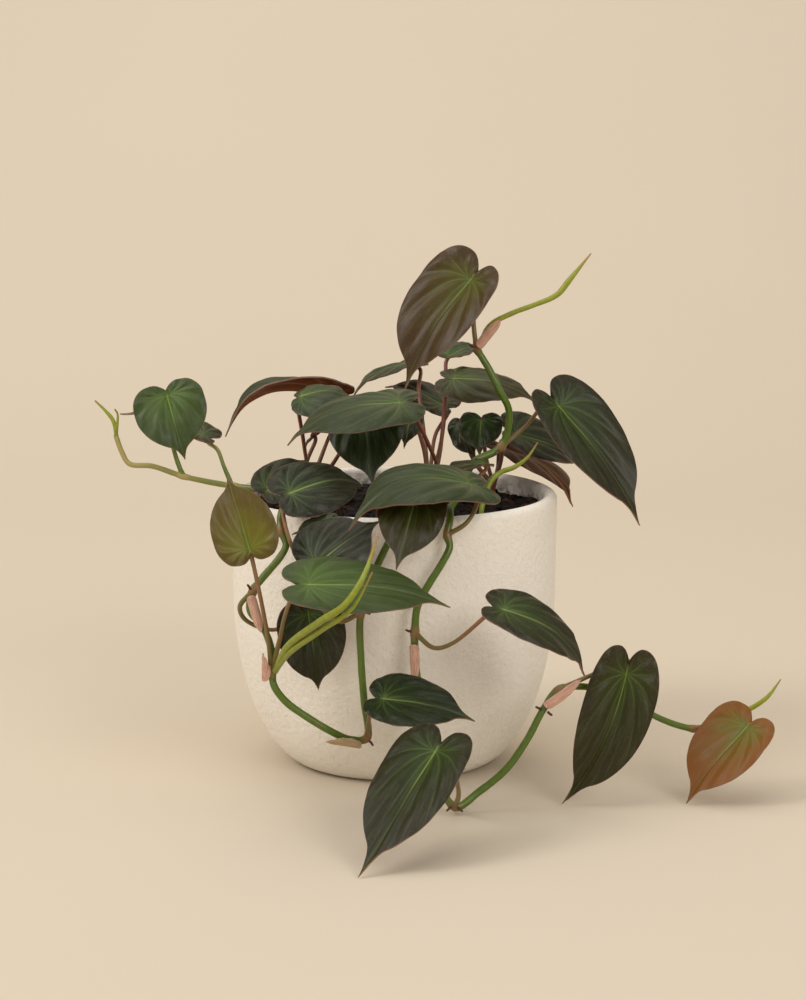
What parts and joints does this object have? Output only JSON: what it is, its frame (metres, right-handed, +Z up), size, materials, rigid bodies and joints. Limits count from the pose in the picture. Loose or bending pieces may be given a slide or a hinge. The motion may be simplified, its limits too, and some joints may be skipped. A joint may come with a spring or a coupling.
{
  "type": "potted philodendron",
  "caption": "Velvet-leaved climbing and trailing houseplant in a round, pale, matte ceramic pot filled with dark soil.",
  "frame": {"origin": "middle of the pot's flat foot, on the surface that it stands on", "axes": "+Z up, -Y towards the viewer of the picture, +X to the viewer's right"},
  "size_m": [0.2654, 0.2242, 0.207],
  "materials": {
    "pot": "matte",
    "soil": "matte",
    "stem_green": "satin",
    "stem_red": "satin",
    "leaf_dark": "satin",
    "leaf_teal": "satin",
    "leaf_olive": "satin",
    "leaf_bronze": "satin",
    "leaf_bright": "satin",
    "leaf_young": "satin",
    "spear": "satin",
    "sheath": "matte"
  },
  "bodies": {
    "root": {"pot": "pot", "soil": "soil", "stem_climbing": "stem_green", "stem_left": "stem_green", "stem_trailing": "stem_green", "stem_hanging": "stem_green", "stalks_left": "stem_red", "stalks_middle": "stem_red", "stalks_right": "stem_red", "stalk_front": "stem_red", "spear_top": "spear", "spear_front": "spear", "spear_right": "spear", "spear_crown": "spear", "spear_left": "spear", "leaf_01": "leaf_bronze", "leaf_02": "leaf_bright", "leaf_03": "leaf_dark", "leaf_04": "leaf_teal", "leaf_05": "leaf_teal", "leaf_06": "leaf_olive", "leaf_07": "leaf_teal", "leaf_08": "leaf_teal", "leaf_09": "leaf_teal", "leaf_10": "leaf_olive", "leaf_11": "leaf_olive", "leaf_12": "leaf_dark", "leaf_13": "leaf_dark", "leaf_14": "leaf_dark", "leaf_15": "leaf_dark", "leaf_16": "leaf_olive", "leaf_17": "leaf_teal", "leaf_18": "leaf_olive", "leaf_19": "leaf_dark", "leaf_20": "leaf_dark", "leaf_21": "leaf_teal", "leaf_22": "leaf_dark", "leaf_23": "leaf_olive", "leaf_24": "leaf_bright", "leaf_25": "leaf_olive", "leaf_26": "leaf_bronze", "leaf_27": "leaf_bright", "leaf_28": "leaf_dark", "leaf_29": "leaf_dark", "leaf_30": "leaf_dark", "leaf_31": "leaf_young", "leaf_32": "leaf_olive", "leaf_33": "leaf_dark", "sheath_top": "sheath", "sheath_trailing": "sheath", "sheath_right": "sheath", "sheath_left": "sheath", "sheath_front": "sheath", "sheath_dry": "sheath"}
  },
  "joints": []
}
